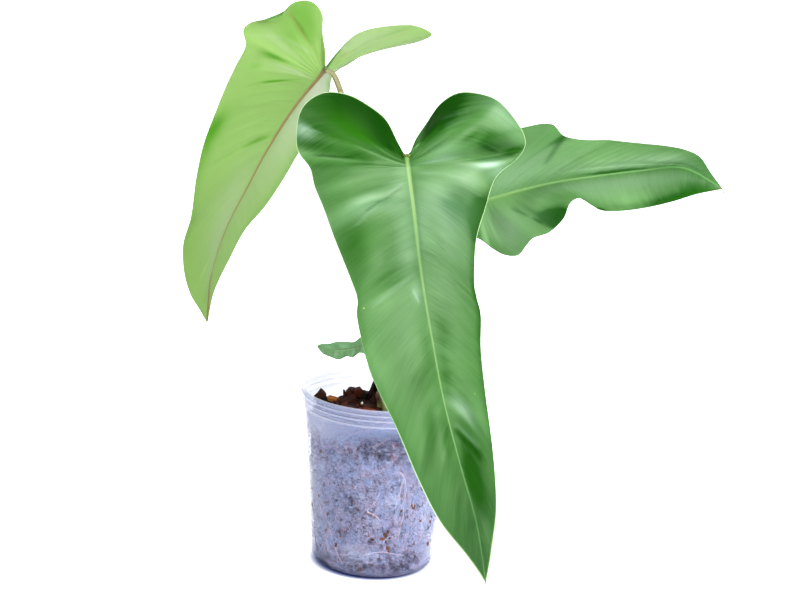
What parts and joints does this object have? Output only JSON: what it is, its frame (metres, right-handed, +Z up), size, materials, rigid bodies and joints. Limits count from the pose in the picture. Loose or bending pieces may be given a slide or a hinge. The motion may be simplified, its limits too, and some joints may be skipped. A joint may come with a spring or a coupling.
{
  "type": "potted philodendron paloraense hybrid",
  "caption": "Young philodendron with long arrow-shaped leaves on thin petioles, rooted in bark mix in a tapered frosted nursery cup.",
  "frame": {"origin": "centre of the cup's flat bottom, on the surface it stands on", "axes": "+Z up along the cup's axis, the largest leaf hangs towards -Y, the leaf that reaches sideways points to +X"},
  "size_m": [0.3531, 0.2838, 0.3669],
  "materials": {
    "cup": "frosted translucent",
    "potting_mix": "loose damp bark",
    "stem": "satin",
    "petiole": "satin",
    "blade": "satin",
    "blade_pale": "matte",
    "blade_dark": "satin"
  },
  "bodies": {
    "root": {"cup": "cup", "potting_mix": "potting_mix", "stem": "stem", "petiole_front": "petiole", "petiole_left": "petiole", "petiole_right": "petiole", "petiole_small": "petiole", "blade_front": "blade", "blade_left": "blade_pale", "blade_right": "blade", "blade_small": "blade_dark"}
  },
  "joints": []
}
